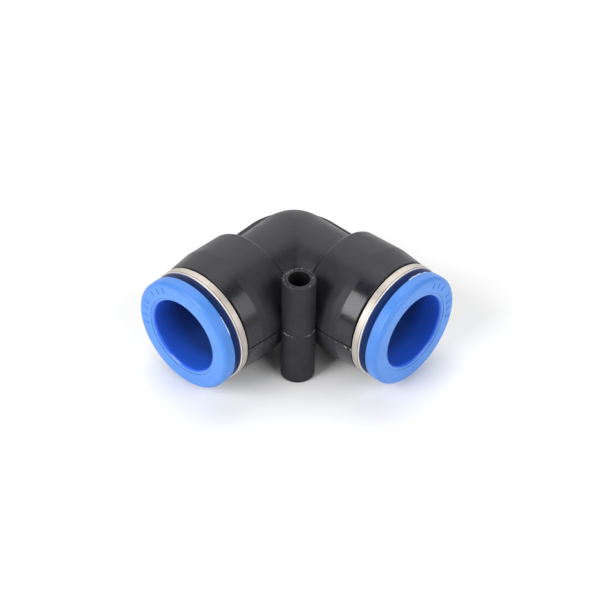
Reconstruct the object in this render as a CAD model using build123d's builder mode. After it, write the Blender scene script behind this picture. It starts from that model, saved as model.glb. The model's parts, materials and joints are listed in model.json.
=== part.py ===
from build123d import *
from math import cos, radians, sin, tan
import os

# A push-to-connect union elbow for 16 mm tube, with a hole for one mounting screw. Millimetres.
#
# The origin is the middle of the mounting hole, in the plane of the two port axes.
# +X leaves the right port, -Y leaves the left port and +Z runs up the mounting hole.
# Along a port, a distance is counted outwards from the point where the two port axes cross.

# Tube
tube_radius = 8.0
guide_radius = tube_radius + 0.15
grip_radius = tube_radius - 0.05
passage_radius = 6.5

# Body, outside
hole_offset = 15.0
pipe_radius = 10.05
socket_rear = 12.6
socket_rear_radius = 12.65
socket_crown = 21.3
socket_crown_radius = 13.05
socket_mouth = 27.0
socket_mouth_radius = 12.48
rear_corner_rounding = 0.6
rear_edge_rounding = 0.6
crown_rounding = 3.0
mouth_rounding = 0.25
web_radius = 12.1
web_half_thickness = 2.2
web_end = socket_rear + 0.6
boss_upper_radius = 3.48
boss_lower_radius = 3.55
boss_half_height = 12.85
boss_rounding = 0.2
sink_ring_radius = 2.85
sink_ring_width = 0.22
sink_ring_depth = 0.12
sink_ring_start = 62
sink_ring_sweep = 235
parting_groove_width = 0.3
parting_groove_depth = 0.25
screw_hole_radius = 2.25

# Body, inside
tube_stop = 9.0
seal_seat = 13.8
cavity_radius = 11.0

# Roundings inside the fitting
fine_rounding = 0.1
small_rounding = 0.2
wide_rounding = 0.3

# Guide ring
ring_inner_end = 20.05
ring_collar_back = 27.35
ring_front = 29.2
ring_collar_radius = 12.53
ring_edge_rounding = 0.25
ring_lip_back = 22.55
ring_lip_radius = 9.6
ring_chamber_radius = 10.25
barb_height = 0.2
barb_length = 1.2
barb_tips = (22.0, 24.6)

# Release sleeve
sleeve_travel = 1.6
sleeve_end_clearance = 0.1
bead_clearance = 0.05
sleeve_nose = 20.4
sleeve_nose_radius = 8.5
sleeve_bead = 21.8
sleeve_bead_radius = 10.05
sleeve_neck_radius = 9.5
flange_back = ring_front + sleeve_travel + sleeve_end_clearance
flange_front = 33.6
flange_radius = 12.43
flange_rounding = 1.0
flange_back_rounding = 0.15
lip_rounding = 0.76
lip_radius = 8.98
lip_step = 0.08
lip_step_rounding = 0.03
mark_height = 0.12
mark_width = 0.45
mark_length = 1.3
mark_ring_radius = 10.6
mark_pitch = 11

# Each row of marks on a flange starts at an angle and has a number of marks.
mark_rows = {"right": ((38, 3), (-14, 4)), "left": ((120, 3), (161, 4))}

# Lock claw
claw_back = 19.6
claw_thickness = 0.4
claw_outer_radius = 10.9
tooth_root_radius = 9.9
tooth_slope = radians(34)
tooth_count = 16
tooth_gap = 0.9
gap_outer_radius = 10.2

# Back ring
back_ring_front = 19.45
back_ring_back = 17.3
back_ring_cone_radius = 8.5

# Seal
seal_front = 17.2
seal_heel = 15.8
seal_back = 14.0
seal_bore_radius = 8.45
seal_leg = 0.9
seal_root = 1.2
seal_lip_setback = 0.3

# Where the two port axes cross, and one plane for each port: its x runs outwards along the port
# axis and its y runs up, so an outline on it is a list of (distance, radius) points.
crossing = Vector(-hole_offset, hole_offset, 0)
ports = {
    "right": Plane(origin=crossing, x_dir=(1, 0, 0), z_dir=(0, -1, 0)),
    "left": Plane(origin=crossing, x_dir=(0, -1, 0), z_dir=(-1, 0, 0)),
}


def port_axis(port):
    """The axis of a port, pointing out of it."""
    return Axis(port.origin, port.x_dir)


def across(port, distance):
    """A plane square to a port's axis, facing out of it, with its y running up."""
    centre = port.origin + port.x_dir * distance
    return Plane(origin=centre, x_dir=port.z_dir * -1, z_dir=port.x_dir)


def turned(port, outline):
    """A ring turned about a port's axis. Each corner is (distance, radius, rounding)."""
    corners = [(distance, radius) for distance, radius, rounding in outline]
    roundings = [rounding for distance, radius, rounding in outline]
    with BuildPart() as ring:
        with BuildSketch(port):
            with BuildLine():
                FilletPolyline(corners, radius=roundings, close=True)
            make_face()
        revolve(axis=port_axis(port))
    return ring


# The barrel of the guide ring, from its inner end to its collar, with the barbs that hold it.
barrel = [(ring_inner_end, cavity_radius, 0)]
for tip in barb_tips:
    barrel += [
        (tip - barb_length, cavity_radius, 0),
        (tip, cavity_radius + barb_height, 0),
        (tip, cavity_radius, 0),
    ]
barrel += [(ring_collar_back, cavity_radius, 0)]

# ------------------------------------------------------------------------------------ body
socket_outline = [
    (0, 0, 0),
    (0, pipe_radius, 0),
    (socket_rear, pipe_radius, rear_corner_rounding),
    (socket_rear, socket_rear_radius, rear_edge_rounding),
    (socket_crown, socket_crown_radius, crown_rounding),
    (socket_mouth, socket_mouth_radius, mouth_rounding),
    (socket_mouth, 0, 0),
]
arms = {side: turned(port, socket_outline).part for side, port in ports.items()}

# Everything that is hollow in one arm: the air passage, the tube's seat and the ring cavity.
hollow_outline = [
    (0, 0, 0),
    (0, passage_radius, 0),
    (tube_stop, passage_radius, 0),
    (tube_stop, guide_radius, 0),
    (seal_seat, guide_radius, 0),
    (seal_seat, cavity_radius, wide_rounding),
    *barrel,
    (ring_collar_back, 0, 0),
]
hollows = {side: turned(port, hollow_outline).part for side, port in ports.items()}

with BuildPart() as body:
    with Locations(crossing):
        Sphere(pipe_radius)
    add(arms.values())

    # The web on the mould's parting plane: round the outer corner and into the inner corner.
    with BuildSketch(Plane(origin=crossing).offset(-web_half_thickness)):
        with BuildLine():
            FilletPolyline(
                (web_end, web_radius),
                (-web_radius, web_radius),
                (-web_radius, -web_end),
                (web_end, -web_end),
                radius=(0, web_radius, 0, 0),
                close=True,
            )
        make_face()
    extrude(amount=2 * web_half_thickness)

    # A fine groove where the mould's halves meet, on the sides of the sockets that face the boss.
    groove_floor = [
        (web_end, parting_groove_depth - socket_rear_radius),
        (socket_crown, parting_groove_depth - socket_crown_radius),
        (socket_mouth, parting_groove_depth - socket_mouth_radius),
    ]
    outside = [(socket_mouth, -socket_mouth), (web_end, -socket_mouth)]
    with BuildSketch(Plane(origin=crossing).offset(-parting_groove_width / 2)):
        with BuildLine():
            Polyline(*groove_floor, *outside, close=True)
        make_face()
        with BuildLine():
            Polyline([(-y, -x) for x, y in groove_floor + outside], close=True)
        make_face()
    extrude(amount=parting_groove_width, mode=Mode.SUBTRACT)

    # The tube for the mounting screw, which joins both sockets. Its lower half is a little wider.
    with BuildSketch():
        Circle(boss_upper_radius)
    extrude(amount=boss_half_height)
    with BuildSketch():
        Circle(boss_lower_radius)
    extrude(amount=-boss_half_height)
    boss_ends = body.faces().filter_by(Plane.XY).sort_by(Axis.Z)
    fillet([boss_ends[0].edges(), boss_ends[-1].edges()], boss_rounding)

    # A shallow sink mark round most of its upper end.
    with BuildSketch(Plane.XY.offset(boss_half_height)):
        SlotArc(
            CenterArc((0, 0), sink_ring_radius, sink_ring_start, sink_ring_sweep),
            sink_ring_width,
        )
    extrude(amount=-sink_ring_depth, mode=Mode.SUBTRACT)

    with Locations(crossing):
        Sphere(passage_radius, mode=Mode.SUBTRACT)
    add(hollows.values(), mode=Mode.SUBTRACT)
    Hole(screw_hole_radius)

body.part.label = "body"
os.makedirs("parts", exist_ok=True)
export_step(body.part, "parts/body.step")

# ----------------------------------------------------------------------------- guide rings
guide_ring_outline = [
    *barrel,
    (ring_collar_back, ring_collar_radius, fine_rounding),
    (ring_front, ring_collar_radius, ring_edge_rounding),
    (ring_front, ring_lip_radius, small_rounding),
    (ring_lip_back, ring_lip_radius, fine_rounding),
    (ring_lip_back, ring_chamber_radius, 0),
    (ring_inner_end, ring_chamber_radius, 0),
]
for side, port in ports.items():
    guide_ring = turned(port, guide_ring_outline)
    guide_ring.part.label = f"guide_ring_{side}"
    export_step(guide_ring.part, f"parts/guide_ring_{side}.step")

# -------------------------------------------------------------------------- release sleeves
# The bead behind the guide ring's lip keeps the sleeve in, and the nose bends the claw's teeth.
# A fine step runs round the rounded mouth of its bore.
bead_shoulder = ring_lip_back - bead_clearance
release_sleeve_outline = [
    (sleeve_nose, guide_radius, fine_rounding),
    (flange_front - lip_step, guide_radius, lip_rounding),
    (flange_front - lip_step, lip_radius, 0),
    (flange_front, lip_radius, lip_step_rounding),
    (flange_front, flange_radius, flange_rounding),
    (flange_back, flange_radius, flange_back_rounding),
    (flange_back, sleeve_neck_radius, wide_rounding),
    (bead_shoulder, sleeve_neck_radius, 0),
    (bead_shoulder, sleeve_bead_radius, fine_rounding),
    (sleeve_bead, sleeve_bead_radius, fine_rounding),
    (sleeve_nose, sleeve_nose_radius, fine_rounding),
]
for side, port in ports.items():
    sleeve_body = turned(port, release_sleeve_outline).part
    with BuildPart() as release_sleeve:
        add(sleeve_body)
        # Plain raised bars on the flange, in two rows.
        with BuildSketch(across(port, flange_front)):
            for start, count in mark_rows[side]:
                with PolarLocations(
                    mark_ring_radius,
                    count,
                    start_angle=start,
                    angular_range=(count - 1) * mark_pitch,
                    endpoint=True,
                ):
                    Rectangle(mark_length, mark_width)
        extrude(amount=mark_height)
    release_sleeve.part.label = f"release_sleeve_{side}"
    export_step(release_sleeve.part, f"parts/release_sleeve_{side}.step")

# ------------------------------------------------------------------------------- lock claws
claw_front = claw_back + claw_thickness
tooth_tip = claw_front - (tooth_root_radius - grip_radius) * tan(tooth_slope)
lock_claw_outline = [
    (claw_back, claw_outer_radius, 0),
    (claw_front, claw_outer_radius, 0),
    (claw_front, tooth_root_radius, 0),
    (tooth_tip, grip_radius, 0),
    (tooth_tip - claw_thickness * cos(tooth_slope), grip_radius + claw_thickness * sin(tooth_slope), 0),
    (claw_back, tooth_root_radius + claw_thickness * tan(tooth_slope / 2), 0),
]
gap_length = gap_outer_radius - passage_radius
for side, port in ports.items():
    claw_disc = turned(port, lock_claw_outline).part
    with BuildPart() as lock_claw:
        add(claw_disc)
        with BuildSketch(across(port, claw_back)):
            with PolarLocations(gap_outer_radius - gap_length / 2, tooth_count):
                SlotOverall(gap_length, tooth_gap)
        extrude(amount=tube_radius, both=True, mode=Mode.SUBTRACT)
    lock_claw.part.label = f"lock_claw_{side}"
    export_step(lock_claw.part, f"parts/lock_claw_{side}.step")

# ------------------------------------------------------------------------------- back rings
# The cone leaves room for the teeth to bend inwards when the sleeve is pushed, and the gap behind
# the claw leaves room for its rim to rock.
back_ring_outline = [
    (back_ring_back, back_ring_cone_radius, small_rounding),
    (back_ring_back, cavity_radius, small_rounding),
    (back_ring_front, cavity_radius, 0),
    (back_ring_front, gap_outer_radius, fine_rounding),
]
for side, port in ports.items():
    back_ring = turned(port, back_ring_outline)
    back_ring.part.label = f"back_ring_{side}"
    export_step(back_ring.part, f"parts/back_ring_{side}.step")

# ------------------------------------------------------------------------------------ seals
# A lip seal: an outer leg on the socket's wall and an inner leg with the lip on the tube.
seal_lip_end = seal_back + seal_lip_setback
seal_outline = [
    (seal_front, seal_bore_radius, small_rounding),
    (seal_front, cavity_radius, small_rounding),
    (seal_back, cavity_radius, wide_rounding),
    (seal_back, cavity_radius - seal_leg, wide_rounding),
    (seal_heel, cavity_radius - seal_root, small_rounding),
    (seal_heel, seal_bore_radius + seal_leg, small_rounding),
    (seal_lip_end, grip_radius + seal_leg, small_rounding),
    (seal_lip_end, grip_radius, fine_rounding),
    (seal_heel, seal_bore_radius, wide_rounding),
]
for side, port in ports.items():
    seal = turned(port, seal_outline)
    seal.part.label = f"seal_{side}"
    export_step(seal.part, f"parts/seal_{side}.step")
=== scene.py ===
import bpy
import bmesh
import json
import math
import random
from mathutils import Matrix, Vector


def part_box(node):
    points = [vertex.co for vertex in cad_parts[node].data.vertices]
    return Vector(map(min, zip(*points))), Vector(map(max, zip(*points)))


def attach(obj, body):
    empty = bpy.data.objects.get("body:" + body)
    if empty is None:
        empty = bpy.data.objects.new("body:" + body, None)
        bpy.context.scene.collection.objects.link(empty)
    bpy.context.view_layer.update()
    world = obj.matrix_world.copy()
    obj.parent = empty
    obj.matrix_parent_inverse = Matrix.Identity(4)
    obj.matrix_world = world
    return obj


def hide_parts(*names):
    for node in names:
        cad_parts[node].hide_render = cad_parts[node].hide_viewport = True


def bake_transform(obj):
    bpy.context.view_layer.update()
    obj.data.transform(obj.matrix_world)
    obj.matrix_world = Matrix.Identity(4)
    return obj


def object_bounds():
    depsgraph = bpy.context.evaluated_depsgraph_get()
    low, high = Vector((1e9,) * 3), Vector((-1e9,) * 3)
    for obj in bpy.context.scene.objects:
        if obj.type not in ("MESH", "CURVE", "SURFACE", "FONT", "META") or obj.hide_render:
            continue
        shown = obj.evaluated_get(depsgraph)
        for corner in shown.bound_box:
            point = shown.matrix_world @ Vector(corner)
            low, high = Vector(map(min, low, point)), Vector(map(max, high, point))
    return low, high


MM = 0.001
SIDES = ("right", "left")
UP = Vector((0, 0, 1))

# How far each socket's taper is polished: 0 is satin and 1 is as glossy as the mould made it.
POLISH = {"right": 1.0, "left": 0.65}

# The back edge of a release sleeve's flange: its distance along the port and its radius, in
# millimetres.
FLANGE_BACK = (31.0, 12.38)

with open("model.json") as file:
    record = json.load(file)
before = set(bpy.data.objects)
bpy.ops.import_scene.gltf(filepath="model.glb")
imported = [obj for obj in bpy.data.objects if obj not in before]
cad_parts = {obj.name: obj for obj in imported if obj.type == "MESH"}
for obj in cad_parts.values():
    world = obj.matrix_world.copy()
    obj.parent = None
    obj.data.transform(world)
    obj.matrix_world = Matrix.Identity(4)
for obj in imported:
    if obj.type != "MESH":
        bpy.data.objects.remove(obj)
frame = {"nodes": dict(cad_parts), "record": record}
cad_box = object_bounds()
nodes = frame["nodes"]
mounts = {mount["name"]: mount for mount in frame["record"]["mounts"]}
outwards = {side: Vector(mounts[f"port_{side}"]["axis"]) for side in SIDES}

# The point where the two port axes cross, in the row frame.
crossing = Vector((mounts["port_left"]["pos_m"][0], mounts["port_right"]["pos_m"][1], 0))

# For each port, the level direction square to its axis on the side that faces the boss.
inwards = {"right": Vector((0, -1, 0)), "left": Vector((1, 0, 0))}
boss_top = Vector(mounts["boss_top"]["pos_m"])


def reach(node, side, end):
    """How far out along its port a node starts (end 0) or stops (end 1), in metres."""
    distances = [(corner - crossing).dot(outwards[side]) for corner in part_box(node)]
    return sorted(distances)[end]


# ------------------------------------------------------------------ camera, lights, floor
def look_from(azimuth, elevation):
    """The direction towards a viewer. Azimuth 0 is on the -Y side and 90 on the +X side."""
    azimuth, elevation = math.radians(azimuth), math.radians(elevation)
    flat = math.cos(elevation)
    return Vector((math.sin(azimuth) * flat, -math.cos(azimuth) * flat, math.sin(elevation)))


def add_camera():
    """A long lens, aimed a little below the crossing of the ports and rolled by a degree."""
    azimuth, elevation, roll = 41.66, 42.42, math.radians(1.16)
    distance, across, up = 512.4 * MM, 1.60 * MM, -9.34 * MM
    focal_length, nearest = 145.2, 10 * MM
    back = look_from(azimuth, elevation)
    level = UP.cross(back).normalized()
    upright = back.cross(level)
    right = level * math.cos(roll) + upright * math.sin(roll)
    top = upright * math.cos(roll) - level * math.sin(roll)
    place = crossing + back * distance + right * across + top * up
    camera = bpy.data.objects.new("camera", bpy.data.cameras.new("camera"))
    camera.data.lens = focal_length
    camera.data.clip_start = nearest
    turn = Matrix((right, top, back)).transposed().to_4x4()
    camera.matrix_world = Matrix.Translation(place) @ turn
    bpy.context.scene.collection.objects.link(camera)
    bpy.context.scene.camera = camera


def add_softbox(name, direction, distance, size, power):
    """An area light that faces the part from a direction, (azimuth, elevation) in degrees. Its
    distance and its size, (width, height), are in metres, and its power is in watts."""
    light = bpy.data.lights.new(name, "AREA")
    light.shape = "RECTANGLE"
    light.size, light.size_y = size
    light.energy = power
    towards = look_from(*direction)
    box = bpy.data.objects.new(name, light)
    box.visible_camera = False
    box.location = crossing + towards * distance
    box.rotation_euler = towards.to_track_quat("Z", "Y").to_euler()
    bpy.context.scene.collection.objects.link(box)


def add_world():
    """A dim, even room that lights the part, with a pale backdrop where the camera looks."""
    world = bpy.data.worlds.new("studio")
    world.use_nodes = True
    tree = world.node_tree
    background = tree.nodes["Background"]
    background.inputs["Color"].default_value = colour(1, 1, 1)
    room, backdrop = 0.13, 0.85
    seen = node_with(tree, "ShaderNodeLightPath").outputs["Is Camera Ray"]
    tree.links.new(ramp(tree, seen, room, backdrop, 0, 1), background.inputs["Strength"])
    bpy.context.scene.world = world


def add_lights():
    """A large softbox behind and above, a small one overhead, and two keys, each nearly in line
    with a port. A key lights the flange that faces it and draws the highlight on the taper of
    the other socket."""
    add_softbox("back_box", (222, 39), distance=1.1, size=(1.7, 1.45), power=10.8)
    add_softbox("top_box", (225, 72), distance=0.9, size=(0.50, 0.30), power=1.2)
    add_softbox("left_key", (-11, 32), distance=0.8, size=(0.38, 0.60), power=5.8)
    add_softbox("right_key", (97, 32), distance=0.8, size=(0.64, 0.58), power=4.2)


def add_floor(material):
    """A level sheet of paper that touches the part's lowest point."""
    size = 3.0
    low = cad_box[0][2]
    mesh = bpy.data.meshes.new("floor")
    corners = [(-size, -size, low), (size, -size, low), (size, size, low), (-size, size, low)]
    mesh.from_pydata(corners, [], [(0, 1, 2, 3)])
    floor = bpy.data.objects.new("floor", mesh)
    bpy.context.scene.collection.objects.link(floor)
    dress(floor, material)


# ---------------------------------------------------------------------- material helpers
def new_material(name, **settings):
    """A material with one principled shader, whose constant inputs are set by name."""
    material = bpy.data.materials.new(name)
    material.use_nodes = True
    tree = material.node_tree
    shader = tree.nodes["Principled BSDF"]
    for key, value in settings.items():
        shader.inputs[key.replace("_", " ")].default_value = value
    return material, tree, shader


def node_with(tree, kind, inputs=(), **settings):
    """A new node. Each input is a constant or another node's output."""
    node = tree.nodes.new(kind)
    for key, value in settings.items():
        setattr(node, key, value)
    for socket, value in inputs:
        if isinstance(value, bpy.types.NodeSocket):
            tree.links.new(value, node.inputs[socket])
        else:
            node.inputs[socket].default_value = value
    return node


def position(tree):
    """Object coordinates, shared by every texture of one material."""
    found = tree.nodes.get("position")
    if not found:
        found = node_with(tree, "ShaderNodeTexCoord", name="position")
    return found.outputs["Object"]


def noise(tree, scale, detail=3.0, roughness=0.55, vector=None):
    """A noise texture, with its scale in repeats per metre unless a vector is given."""
    inputs = [
        ("Vector", vector or position(tree)),
        ("Scale", scale),
        ("Detail", detail),
        ("Roughness", roughness),
    ]
    return node_with(tree, "ShaderNodeTexNoise", inputs).outputs["Fac"]


def ramp(tree, value, low, high, start=0.35, stop=0.65):
    """A number that runs from low to high as value goes from start to stop."""
    inputs = [
        ("Value", value),
        ("From Min", start),
        ("From Max", stop),
        ("To Min", low),
        ("To Max", high),
    ]
    return node_with(tree, "ShaderNodeMapRange", inputs).outputs["Result"]


def combine(tree, operation, first, second):
    """A sum, product or other operation on two numbers."""
    inputs = enumerate((first, second))
    return node_with(tree, "ShaderNodeMath", inputs, operation=operation).outputs[0]


def product(tree, *numbers):
    """The product of several numbers. For masks, it is the place where they overlap."""
    result = numbers[0]
    for number in numbers[1:]:
        result = combine(tree, "MULTIPLY", result, number)
    return result


def vector_math(tree, operation, *inputs):
    """A node for an operation on vectors."""
    return node_with(tree, "ShaderNodeVectorMath", enumerate(inputs), operation=operation)


def rise(tree, value, start, stop):
    """A mask that goes from 0 at start to 1 at stop, with both lengths in millimetres."""
    return ramp(tree, value, 0, 1, start * MM, stop * MM)


def fall(tree, value, start, stop):
    """A mask that goes from 1 at start to 0 at stop, with both lengths in millimetres."""
    return ramp(tree, value, 1, 0, start * MM, stop * MM)


def band(tree, value, start, stop, soft=0.05):
    """A mask that is 1 from start to stop and 0 outside. The lengths are in millimetres."""
    begun, not_over = rise(tree, value, start - soft, start), fall(tree, value, stop, stop + soft)
    return product(tree, begun, not_over)


def colour(red, green, blue):
    return (red, green, blue, 1)


def mix_colours(tree, factor, first, second):
    """A colour between two colours, of which each is a constant or a node's output."""
    inputs = [(0, factor), (6, first), (7, second)]
    return node_with(tree, "ShaderNodeMix", inputs, data_type="RGBA").outputs[2]


def bump(tree, height, strength, depth, below=None):
    """A bump with a depth in metres, on top of another bump if one is given."""
    inputs = [("Strength", strength), ("Distance", depth), ("Height", height)]
    if below:
        inputs.append(("Normal", below))
    return node_with(tree, "ShaderNodeBump", inputs).outputs["Normal"]


def about_port(tree, side):
    """The distance along a port's axis, the radius from it and the height above it, in metres."""
    centred = vector_math(tree, "SUBTRACT", position(tree), crossing).outputs[0]
    along = vector_math(tree, "DOT_PRODUCT", centred, outwards[side]).outputs["Value"]
    across = vector_math(tree, "CROSS_PRODUCT", centred, outwards[side]).outputs[0]
    radius = vector_math(tree, "LENGTH", across).outputs["Value"]
    height = node_with(tree, "ShaderNodeSeparateXYZ", [(0, centred)]).outputs[2]
    return along, radius, height


def ring_noise(tree, side, rings, streaks, detail=3.0):
    """Noise that draws rings about a port's axis, as a lathe tool or a mould leaves them.
    Both scales are in repeats per metre: across the rings, and along them."""
    scales = (rings, rings, streaks)
    scaled = [product(tree, *pair) for pair in zip(about_port(tree, side), scales)]
    vector = node_with(tree, "ShaderNodeCombineXYZ", enumerate(scaled)).outputs[0]
    return noise(tree, 1.0, detail, vector=vector)


def finish(tree, shader, tint, roughness, normal):
    """Connects what a material varies over its surface."""
    for value, name in ((tint, "Base Color"), (roughness, "Roughness"), (normal, "Normal")):
        tree.links.new(value, shader.inputs[name])


# ------------------------------------------------------------------------------ materials
def floor_paper():
    """White studio paper."""
    material, tree, shader = new_material("floor_paper")
    mottle = noise(tree, 18, detail=2)
    tint = mix_colours(
        tree, ramp(tree, mottle, 0, 1), colour(0.90, 0.90, 0.90), colour(0.93, 0.93, 0.93)
    )
    fibres = bump(tree, noise(tree, 3000), 0.1, 0.01 * MM)
    finish(tree, shader, tint, ramp(tree, mottle, 0.65, 0.75), fibres)
    return material


def polished_places(tree):
    """Two masks for the body. One is for its glossier places: the tapers behind the sockets'
    mouths, on the sides that face the boss, and the shoulders at the sockets' rear ends. The
    other is for the matt places right behind the tapers."""
    glossy, matt = 0, 0
    for side in SIDES:
        along, radius, height = about_port(tree, side)
        inward = vector_math(tree, "DOT_PRODUCT", position(tree), inwards[side]).outputs["Value"]
        axis = crossing.dot(inwards[side])
        facing_boss = ramp(tree, inward, 0, 1, axis, axis + 3 * MM)
        flank = product(tree, facing_boss, fall(tree, height, 11.2, 12.2))
        taper = product(tree, band(tree, along, 23.2, 27.1, soft=0.3), flank, POLISH[side])
        crown = product(tree, band(tree, along, 19.5, 22.9, soft=0.5), flank)
        shoulder = product(tree, band(tree, along, 12.5, 13.2), band(tree, radius, 12.0, 12.75))
        matt = combine(tree, "MAXIMUM", matt, crown)
        glossy = combine(tree, "MAXIMUM", glossy, combine(tree, "MAXIMUM", taper, shoulder))
    return glossy, matt


def from_screw_axis(tree):
    """The distance from the axis of the mounting hole, in metres."""
    flat = vector_math(tree, "MULTIPLY", position(tree), (1, 1, 0)).outputs[0]
    return vector_math(tree, "LENGTH", flat).outputs["Value"]


def black_pbt(name="black_pbt", scuffs=0.0):
    """Glass-filled black PBT: charcoal and satin, glossier where the mould was polished and matt
    on the boss. Scuffs add the pale, torn look of flash."""
    material, tree, shader = new_material(name, IOR=1.43)
    patches = noise(tree, 240)
    dark, pale = colour(0.011, 0.011, 0.015), colour(0.018, 0.017, 0.023)
    tint = mix_colours(tree, ramp(tree, patches, 0, 1), dark, pale)
    distance = from_screw_axis(tree)
    # Painted shade: the wall of the screw hole is painted black, for the shade inside the recess.
    tint = mix_colours(tree, fall(tree, distance, 2.2, 2.4), tint, colour(0, 0, 0))
    specks = ramp(tree, noise(tree, 2300, detail=2), 0, 0.5, 0.70, 0.76)
    tint = mix_colours(tree, specks, tint, colour(0.09, 0.09, 0.09))
    if scuffs:
        torn = ramp(tree, noise(tree, 2600, detail=2), 0, scuffs, 0.42, 0.60)
        tint = mix_colours(tree, torn, tint, colour(0.55, 0.55, 0.54))
    polished_mask, matt_mask = polished_places(tree)
    satin = ramp(tree, patches, 0.36, 0.47)
    satin = combine(tree, "ADD", satin, ramp(tree, matt_mask, 0, 0.17, 0, 1))
    glossy = ramp(tree, noise(tree, 900), 0.17, 0.23)
    elbow = ramp(tree, polished_mask, satin, glossy, 0, 1)
    boss, boss_edge, elbow_edge = 0.62, 3.7 * MM, 3.9 * MM
    roughness = ramp(tree, distance, boss, elbow, boss_edge, elbow_edge)
    waves = bump(tree, noise(tree, 500, detail=2), 0.25, 0.02 * MM)
    dimples = bump(tree, noise(tree, 1800, detail=2), 0.5, 0.010 * MM, waves)
    grain = bump(tree, noise(tree, 9000, detail=2), 0.3, 0.006 * MM, dimples)
    finish(tree, shader, tint, roughness, grain)
    return material


def blue_pom(side):
    """Light blue acetal. The wall of the bore is painted darker, as painted shade, and brighter
    towards the mouth, as painted light that stands for light shining through the flange. The
    rounded rim of the flange is painted darker, as painted shade, and a fine line of painted shade
    on the flange's face goes round the lip of the bore."""
    material, tree, shader = new_material(
        f"blue_pom_{side}", IOR=1.45, Subsurface_Weight=0.12, Subsurface_Scale=0.6 * MM
    )
    shader.inputs["Subsurface Radius"].default_value = (0.2, 0.5, 1.0)
    along, radius, _ = about_port(tree, side)
    flow = noise(tree, 260)
    dark, pale = colour(0.080, 0.252, 0.70), colour(0.092, 0.275, 0.75)
    rim, line = colour(0.062, 0.225, 0.66), colour(0.040, 0.16, 0.50)
    painted_bore_shade, painted_bore_light = colour(0.019, 0.067, 0.30), colour(0.027, 0.125, 0.66)
    mouth = colour(0.029, 0.14, 0.80)
    tint = mix_colours(tree, ramp(tree, flow, 0, 1), dark, pale)
    # Painted shade: the rounded rim of the flange is darker.
    tint = mix_colours(tree, rise(tree, radius, 11.3, 12.0), tint, rim)
    # Painted shade: a fine dark line on the face round the lip of the bore, where a small step
    # casts shade.
    tint = mix_colours(tree, band(tree, radius, 8.93, 9.01), tint, line)
    # Painted shade and painted light: the bore's wall is darker inside and brighter towards the
    # mouth, standing for light that shines through the flange.
    bore = mix_colours(tree, rise(tree, along, 26.8, 29.8), painted_bore_shade, painted_bore_light)
    bore = mix_colours(tree, rise(tree, along, 30.5, 32.5), bore, mouth)
    tint = mix_colours(tree, fall(tree, radius, 8.25, 8.6), tint, bore)
    lip = product(tree, band(tree, along, 32.8, 34), band(tree, radius, 8.1, 8.85))
    lip_roughness = 0.2
    roughness = ramp(tree, lip, ramp(tree, flow, 0.36, 0.46), lip_roughness, 0, 1)
    waves = bump(tree, noise(tree, 500, detail=2), 0.4, 0.02 * MM)
    grain = bump(tree, noise(tree, 8000, detail=2), 0.3, 0.006 * MM, waves)
    finish(tree, shader, tint, roughness, grain)
    return material


def torn_pom():
    """Acetal drawn out into a pale burr."""
    material, tree, shader = new_material("torn_pom", IOR=1.48, Subsurface_Weight=0.3)
    shader.inputs["Subsurface Scale"].default_value = 0.3 * MM
    shreds = noise(tree, 3000, detail=2)
    blue, white = colour(0.45, 0.65, 0.97), colour(0.93, 0.95, 0.99)
    tint = mix_colours(tree, ramp(tree, shreds, 0, 1), blue, white)
    finish(tree, shader, tint, ramp(tree, shreds, 0.4, 0.6), bump(tree, shreds, 0.5, 0.02 * MM))
    return material


def nickel_plate(side):
    """Turned brass under warm nickel, with a few brown specks. A painted dark line and a painted
    highlight set off its polished front edge, and its front face, in the gap, is painted darker and
    bluish, as painted shade and a painted reflection of the blue flange."""
    material, tree, shader = new_material(f"nickel_plate_{side}", Metallic=1.0)
    along, radius, _ = about_port(tree, side)
    rings = ring_noise(tree, side, 9000, 60)
    stained, clean = colour(0.57, 0.52, 0.465), colour(0.67, 0.635, 0.585)
    groove, speck = colour(0.42, 0.37, 0.32), colour(0.20, 0.15, 0.11)
    line, edge, face = colour(0.24, 0.20, 0.17), colour(0.82, 0.79, 0.74), colour(0.23, 0.225, 0.31)
    stains = ramp(tree, noise(tree, 700, detail=4), 0, 1, 0.3, 0.7)
    tint = mix_colours(tree, stains, stained, clean)
    tint = mix_colours(tree, ramp(tree, rings, 0, 0.4), tint, groove)
    specks = ramp(tree, noise(tree, 2100, detail=2), 0, 0.7, 0.69, 0.73)
    tint = mix_colours(tree, specks, tint, speck)
    # Painted shade and painted highlight: a dark line, then a lighter front edge.
    tint = mix_colours(tree, band(tree, along, 28.8, 28.92), tint, line)
    tint = mix_colours(tree, rise(tree, along, 28.97, 29.02), tint, edge)
    # Painted shade and painted reflection: the front face in the gap is dark and bluish, as if
    # reflecting the blue flange.
    tint = mix_colours(tree, fall(tree, radius, 12.2, 12.45), tint, face)
    lines = bump(tree, rings, 0.6, 0.015 * MM)
    finish(tree, shader, tint, ramp(tree, rings, 0.45, 0.60), lines)
    return material


def spring_steel(side):
    """Stamped stainless strip, with fine lines from rolling."""
    material, tree, shader = new_material(f"spring_steel_{side}", Metallic=1.0)
    lines = ring_noise(tree, side, 6000, 400, detail=2)
    tint = mix_colours(
        tree, ramp(tree, lines, 0, 1), colour(0.50, 0.50, 0.49), colour(0.66, 0.65, 0.63)
    )
    finish(tree, shader, tint, ramp(tree, lines, 0.22, 0.36), bump(tree, lines, 0.3, 0.006 * MM))
    return material


def natural_pom():
    """Uncoloured white acetal."""
    material, tree, shader = new_material("natural_pom", IOR=1.48, Subsurface_Weight=0.2)
    shader.inputs["Subsurface Scale"].default_value = 0.8 * MM
    flow = noise(tree, 400)
    tint = mix_colours(
        tree, ramp(tree, flow, 0, 1), colour(0.70, 0.69, 0.64), colour(0.78, 0.77, 0.73)
    )
    grain = bump(tree, noise(tree, 5000), 0.3, 0.006 * MM)
    finish(tree, shader, tint, ramp(tree, flow, 0.36, 0.48), grain)
    return material


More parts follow.
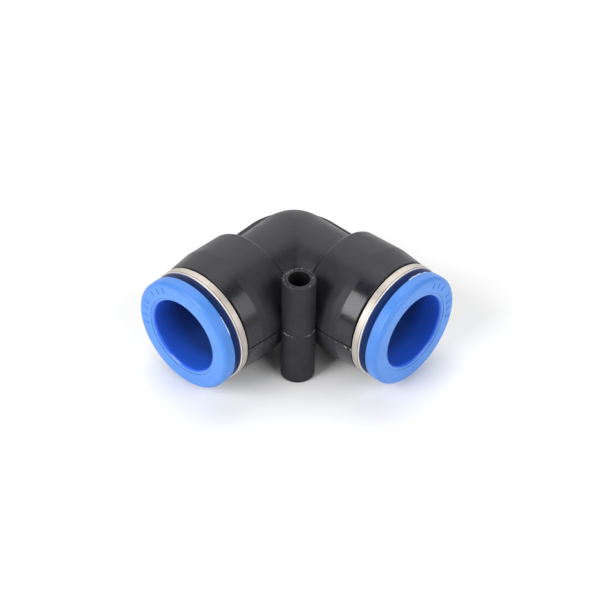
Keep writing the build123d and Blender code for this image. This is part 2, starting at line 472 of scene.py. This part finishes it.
def nbr_rubber():
    """Black nitrile rubber with a film of grease."""
    material, tree, shader = new_material("nbr_rubber", IOR=1.5)
    grease = noise(tree, 700, detail=4)
    tint = mix_colours(
        tree, ramp(tree, grease, 0, 1), colour(0.012, 0.012, 0.013), colour(0.022, 0.022, 0.022)
    )
    grain = bump(tree, noise(tree, 6000), 0.4, 0.01 * MM)
    finish(tree, shader, tint, ramp(tree, grease, 0.30, 0.62), grain)
    return material


def dress(piece, material):
    """Gives a CAD node or a new piece one material, in place of those it has."""
    piece.data.materials.clear()
    piece.data.materials.append(material)


# -------------------------------------------------------------------------- flash and burrs
def on_ring(side, distance, radius, angle):
    """A point at a distance along a port and a radius from its axis, both in millimetres, and
    its way out. The angle is 0 on the side that faces the boss and 90 degrees on top."""
    angle = math.radians(angle)
    way = inwards[side] * math.cos(angle) + UP * math.sin(angle)
    return crossing + outwards[side] * distance * MM + way * radius * MM, way


def add_fin(mesh, stations, sink=0.06 * MM):
    """A ragged fin. Each station is (point on the surface, way out, way across, reach out,
    half thickness), with its lengths in metres."""
    rows = []
    for point, out, across, length, half in stations:
        foot = point - out * sink
        row = (foot - across * half, point + out * length, foot + across * half)
        rows.append([mesh.verts.new(corner) for corner in row])
    for row, after in zip(rows, rows[1:]):
        for first, second in ((0, 1), (1, 2), (2, 0)):
            mesh.faces.new((row[first], row[second], after[second], after[first]))
    mesh.faces.new(reversed(rows[0]))
    mesh.faces.new(rows[-1])


def add_ragged(name, fins, material, body):
    """One piece from several fins, which rides on a body."""
    mesh = bmesh.new()
    for stations in fins:
        add_fin(mesh, stations)
    bmesh.ops.recalc_face_normals(mesh, faces=mesh.faces)
    data = bpy.data.meshes.new(name)
    mesh.to_mesh(data)
    mesh.free()
    piece = bpy.data.objects.new(name, data)
    bpy.context.scene.collection.objects.link(piece)
    dress(piece, material)
    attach(piece, body)


def level_way(degrees):
    """A level direction. It is +X at 0 degrees and +Y at 90."""
    angle = math.radians(degrees)
    return Vector((math.cos(angle), math.sin(angle), 0))


def boss_flash(chance):
    """Flash round the outer side of the boss, where the two halves of the mould met. It is
    thickest in three clusters, each given as (middle, width) in degrees."""
    radius = 3.50 * MM
    clusters = ((-90, 16), (-7, 13), (16, 4))
    stations = []
    for degrees in range(-126, 36):
        out = level_way(degrees)
        height = (-0.04 + 0.05 * chance.uniform(-1, 1)) * MM
        swell = sum(math.exp(-(((degrees - middle) / width) ** 2)) for middle, width in clusters)
        length = (0.04 + 0.34 * swell * chance.random()) * MM
        half = (0.05 + 0.07 * swell) * MM
        stations.append((out * radius + UP * height, out, UP, length, half))
    return [stations]


def rim_flash(chance):
    """Broken flash on the upper end of the boss, between the screw hole and the outer edge. Each
    arc is given as (start, stop) in degrees and its radius in millimetres."""
    arcs = ((75, 150, 3.05), (160, 200, 2.95), (205, 290, 3.12), (30, 60, 2.8), (-5, 25, 3.1))
    wander, tall, half = 0.07, 0.13, 0.06 * MM
    fins = []
    for start, stop, radius in arcs:
        stations = []
        for degrees in range(start, stop, 3):
            out = level_way(degrees)
            point = out * (radius + chance.uniform(-wander, wander)) * MM + UP * boss_top.z
            stations.append((point, UP, out, tall * chance.random() * MM, half))
        fins.append(stations)
    return fins


def mouth_flash(chance):
    """A curl of flash at the mouth of the right socket, just under the parting line."""
    distance, radius, lowest, step = 27.0, 12.40, -9, 0.9
    stations = []
    for number in range(9):
        point, out = on_ring("right", distance, radius, lowest + step * number)
        length = (0.10 + 0.14 * chance.random()) * MM
        stations.append((point, out, outwards["right"], length, 0.14 * MM))
    return [stations]


def socket_radius(distance):
    """The socket's outer radius: it swells to the crown and then draws in to the mouth. Each
    place is (distance along the port, radius), in millimetres."""
    rear, crown, mouth = (12.6, 12.65), (21.3, 13.0), (27.0, 12.48)
    before, after = (rear, crown) if distance < crown[0] else (crown, mouth)
    part = (distance - before[0]) / (after[0] - before[0])
    return before[1] + (after[1] - before[1]) * part


def flake(chance, side, start, length, low, high, tall):
    """A flake of flash that lies along a socket's parting line, on the side that faces the boss.
    It starts at height low and stops at height high, and stands out by tall, in millimetres."""
    half = 0.09 * MM
    stations = []
    count = 8
    for step in range(count + 1):
        part = step / count
        height = low + (high - low) * part
        distance = start + length * part
        radius = socket_radius(distance)
        angle = math.degrees(math.asin(height / radius))
        point, out = on_ring(side, distance, radius, angle)
        bulge = math.sin(math.pi * min(max(part, 0.05), 0.95))
        stations.append((point, out, UP, tall * bulge * chance.uniform(0.5, 1) * MM, half))
    return stations


def sleeve_burr(chance, side, start, stop, tall, edge=FLANGE_BACK):
    """A burr on an edge of a release sleeve's flange, between two angles. It stands out by up to
    tall, in millimetres, and mostly by much less."""
    shortest, half = 0.06, 0.12 * MM
    stations = []
    count = 26
    for step in range(count + 1):
        point, out = on_ring(side, *edge, start + (stop - start) * step / count)
        length = (shortest + tall * chance.random() ** 1.5) * MM
        stations.append((point, out, outwards[side], length, half))
    return stations


# ------------------------------------------------------------------------------ lock claws
def add_claw(side):
    """The claw as a mesh, cut into short lengths along its port, in place of the hidden CAD node.
    The real claw's teeth bend inwards when the sleeve is pushed, and its rim, behind the bent
    length, stays in its seat; nothing here bends the mesh."""
    bend_length, cuts = 2.7 * MM, 8
    name = f"lock_claw_{side}"
    mesh = bmesh.new()
    mesh.from_mesh(nodes[name].data)
    bmesh.ops.remove_doubles(mesh, verts=mesh.verts, dist=1e-7)
    back, front = reach(name, side, 0), reach(name, side, 1)
    for cut in range(1, cuts):
        place = crossing + outwards[side] * (back + (front - back) * cut / cuts)
        everything = mesh.verts[:] + mesh.edges[:] + mesh.faces[:]
        bmesh.ops.bisect_plane(mesh, geom=everything, plane_co=place, plane_no=outwards[side])
    data = bpy.data.meshes.new(f"bending_claw_{side}")
    mesh.to_mesh(data)
    mesh.free()
    claw = bpy.data.objects.new(f"bending_claw_{side}", data)
    bpy.context.scene.collection.objects.link(claw)
    dress(claw, spring_steel(side))
    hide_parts(name)
    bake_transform(claw)


# --------------------------------------------------------------------------------- making
bpy.context.scene.view_settings.view_transform = "Standard"
add_camera()
add_world()
add_lights()
add_floor(floor_paper())

dress(nodes["body"], black_pbt())
back_ring_material = natural_pom()
seal_material = nbr_rubber()
for side in SIDES:
    dress(nodes[f"release_sleeve_{side}"], blue_pom(side))
    dress(nodes[f"guide_ring_{side}"], nickel_plate(side))
    dress(nodes[f"back_ring_{side}"], back_ring_material)
    dress(nodes[f"seal_{side}"], seal_material)
    add_claw(side)

chance = random.Random(11)
flash_material = black_pbt("black_pbt_flash", scuffs=0.8)
boss_fins = boss_flash(chance) + rim_flash(chance)
add_ragged("boss_flash", boss_fins, flash_material, "fitting_body")
flakes = [
    flake(chance, "right", start=19.6, length=0.9, low=-0.45, high=-0.50, tall=0.10),
    flake(chance, "right", start=21.3, length=0.9, low=-0.50, high=-0.55, tall=0.14),
    flake(chance, "right", start=23.0, length=0.7, low=-0.60, high=-0.62, tall=0.16),
    flake(chance, "right", start=25.3, length=1.5, low=-0.40, high=-0.95, tall=0.22),
    flake(chance, "left", start=22.4, length=1.6, low=-0.30, high=-0.34, tall=0.06),
]
flakes += mouth_flash(chance)
add_ragged("parting_flash", flakes, flash_material, "fitting_body")

burr_material = torn_pom()
burrs = {
    "right": [
        sleeve_burr(chance, "right", start=90, stop=109, tall=0.40),
        sleeve_burr(chance, "right", start=111, stop=118, tall=0.15),
        sleeve_burr(chance, "right", start=64, stop=66, tall=0.05, edge=(33.2, 12.15)),
    ],
    "left": [
        sleeve_burr(chance, "left", start=27, stop=47, tall=0.25),
        sleeve_burr(chance, "left", start=63, stop=67, tall=0.05, edge=(33.3, 12.05)),
    ],
}
for side in SIDES:
    add_ragged(f"sleeve_burr_{side}", burrs[side], burr_material, f"sleeve_{side}")
